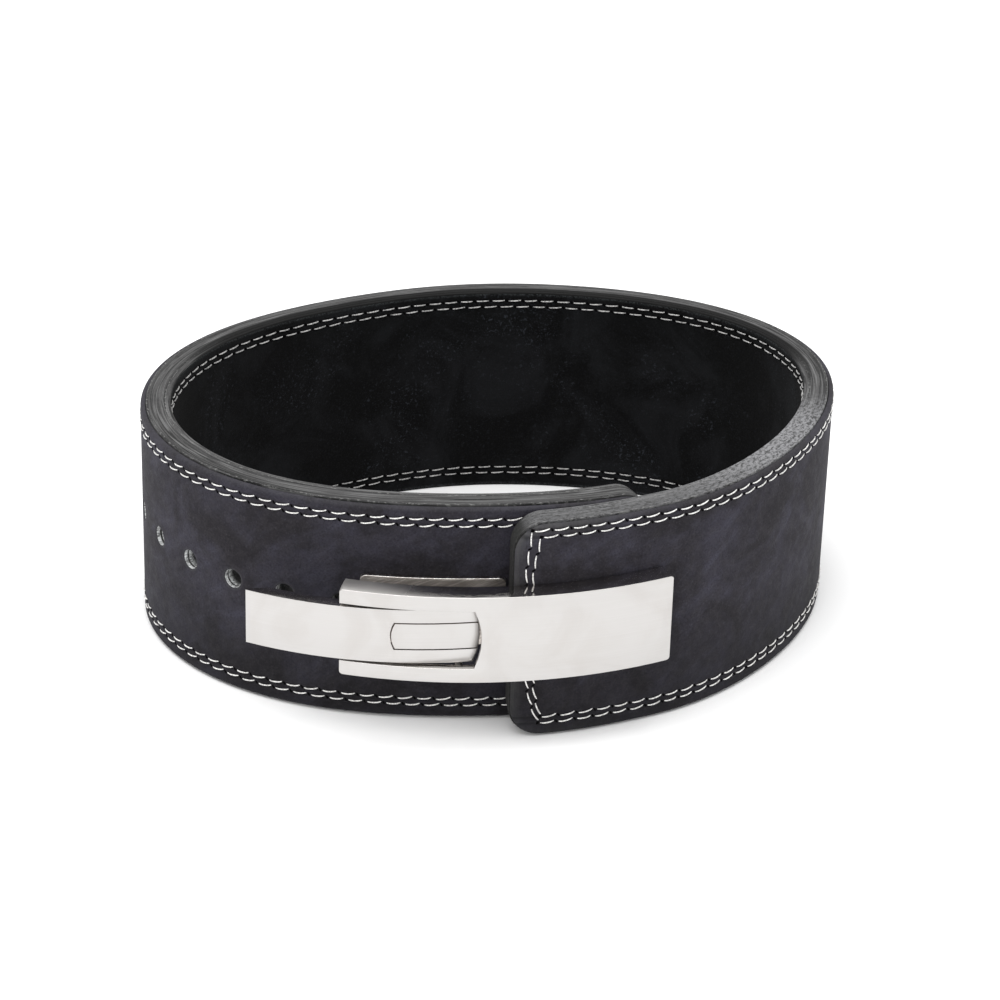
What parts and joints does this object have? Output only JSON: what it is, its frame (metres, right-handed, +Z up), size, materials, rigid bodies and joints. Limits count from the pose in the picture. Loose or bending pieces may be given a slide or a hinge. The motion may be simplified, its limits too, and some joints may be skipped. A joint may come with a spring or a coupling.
{
  "type": "weightlifting lever belt",
  "caption": "Thick leather lifting belt closed into an upright loop, with a curved steel lever buckle over its overlapping ends.",
  "frame": {"origin": "middle of the bounding box's bottom face, on the surface that the belt stands on", "axes": "+Z up along the belt's width, -Y towards the buckle, +X to the wearer's side on the viewer's right"},
  "size_m": [0.301, 0.256, 0.1],
  "materials": {
    "nubuck": "matt brushed nubuck, charcoal with cloudy lighter patches and fine scratches",
    "edge": "burnished edge of bonded layers, satin",
    "suede": "black suede, matt, with a little lint",
    "steel": "fine horizontal brushing with polished borders"
  },
  "bodies": {
    "belt": {"outer_layer": "nubuck", "leather_core": "edge", "suede_lining": "suede", "buckle_plate": "steel", "hinge_pin": "steel", "prong_plate": "steel", "mounting_plate": "steel", "mounting_screw_1": "steel", "mounting_screw_2": "steel"},
    "lever": {"lever_tongue": "steel", "lever_insert": "steel"}
  },
  "joints": [
    {"name": "lever_hinge", "type": "hinge", "parent": "belt", "child": "lever", "pos_m": [-0.00929, -0.12101, 0.053], "axis": [0, 0, 1], "range_deg": [0, 105]}
  ]
}
